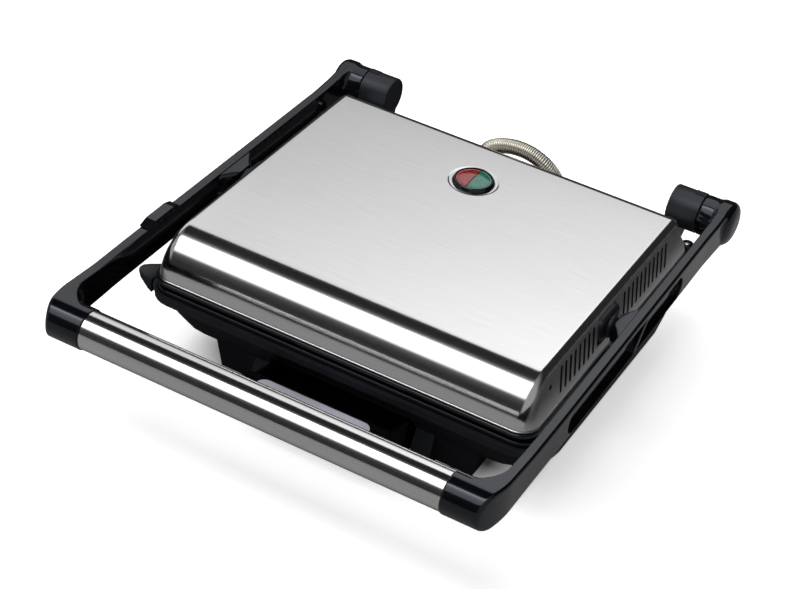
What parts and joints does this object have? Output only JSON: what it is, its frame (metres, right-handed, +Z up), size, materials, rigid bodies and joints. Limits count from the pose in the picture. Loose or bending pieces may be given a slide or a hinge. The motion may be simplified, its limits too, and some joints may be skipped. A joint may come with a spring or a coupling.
{
  "type": "panini press",
  "caption": "Contact grill: low base on legs with drip tray, arm frame with round handle on a rear hinge, floating brushed steel lid with side slots.",
  "frame": {"origin": "centre of the footprint box, on the table", "axes": "+X to the right seen from the handle, +Y from the handle to the hinge, +Z up"},
  "size_m": [0.3616, 0.432, 0.1199],
  "materials": {
    "housing": "matte black",
    "gloss": "gloss black",
    "steel": "brushed, satin",
    "plate": "dark non-stick coating",
    "bright_metal": "bright zinc",
    "conduit": "bright, ribbed",
    "dull_metal": "dull",
    "ceramic": "off-white",
    "red_lens": "translucent red",
    "green_lens": "translucent green",
    "rubber": "matte"
  },
  "bodies": {
    "base": {"base_shell": "housing", "base_rim": "gloss", "cord_gland": "rubber", "heat_shield": "dull_metal", "thermostat": "ceramic", "latch_catch": "housing", "conduit": "conduit", "lower_plate": "plate", "lower_element": "dull_metal", "hinge_barrel_left": "housing", "hinge_barrel_right": "housing", "hinge_pin_left": "bright_metal", "hinge_pin_right": "bright_metal", "foot_front_left": "rubber", "foot_front_right": "rubber", "foot_rear_left": "rubber", "foot_rear_right": "rubber", "foot_screw_front_left": "bright_metal", "foot_screw_front_right": "bright_metal", "foot_screw_rear_left": "bright_metal", "foot_screw_rear_right": "bright_metal"},
    "arms": {"handle_tube": "steel", "arm_left": "gloss", "arm_right": "gloss", "pivot_pin_left": "bright_metal", "pivot_pin_right": "bright_metal"},
    "lid": {"lid_cover": "steel", "lid_hem": "steel", "lid_frame": "gloss", "indicator_bezel": "gloss", "upper_plate": "plate", "upper_element": "dull_metal", "lens_red": "red_lens", "lens_green": "green_lens", "lamp_red": "ceramic", "lamp_green": "ceramic", "pivot_boss_left": "housing", "pivot_boss_right": "housing"},
    "tray": {"drip_tray": "gloss"},
    "lock": {"lock_slider": "gloss"}
  },
  "joints": [
    {"name": "arm_hinge", "type": "hinge", "parent": "base", "child": "arms", "pos_m": [0, 0.1994, 0.096], "axis": [-1, 0, 0], "range_deg": [0, 100], "deforming": ["conduit"]},
    {"name": "lid_tilt", "type": "hinge", "parent": "arms", "child": "lid", "pos_m": [0, 0.0205, 0.098], "axis": [-1, 0, 0], "range_deg": [-1.5, 1.5]},
    {"name": "tray_slide", "type": "slide", "parent": "base", "child": "tray", "axis": [0, -1, 0], "range_m": [0, 0.09]},
    {"name": "lock_slide", "type": "slide", "parent": "arms", "child": "lock", "axis": [0, 1, 0], "range_m": [0, 0.008]}
  ]
}
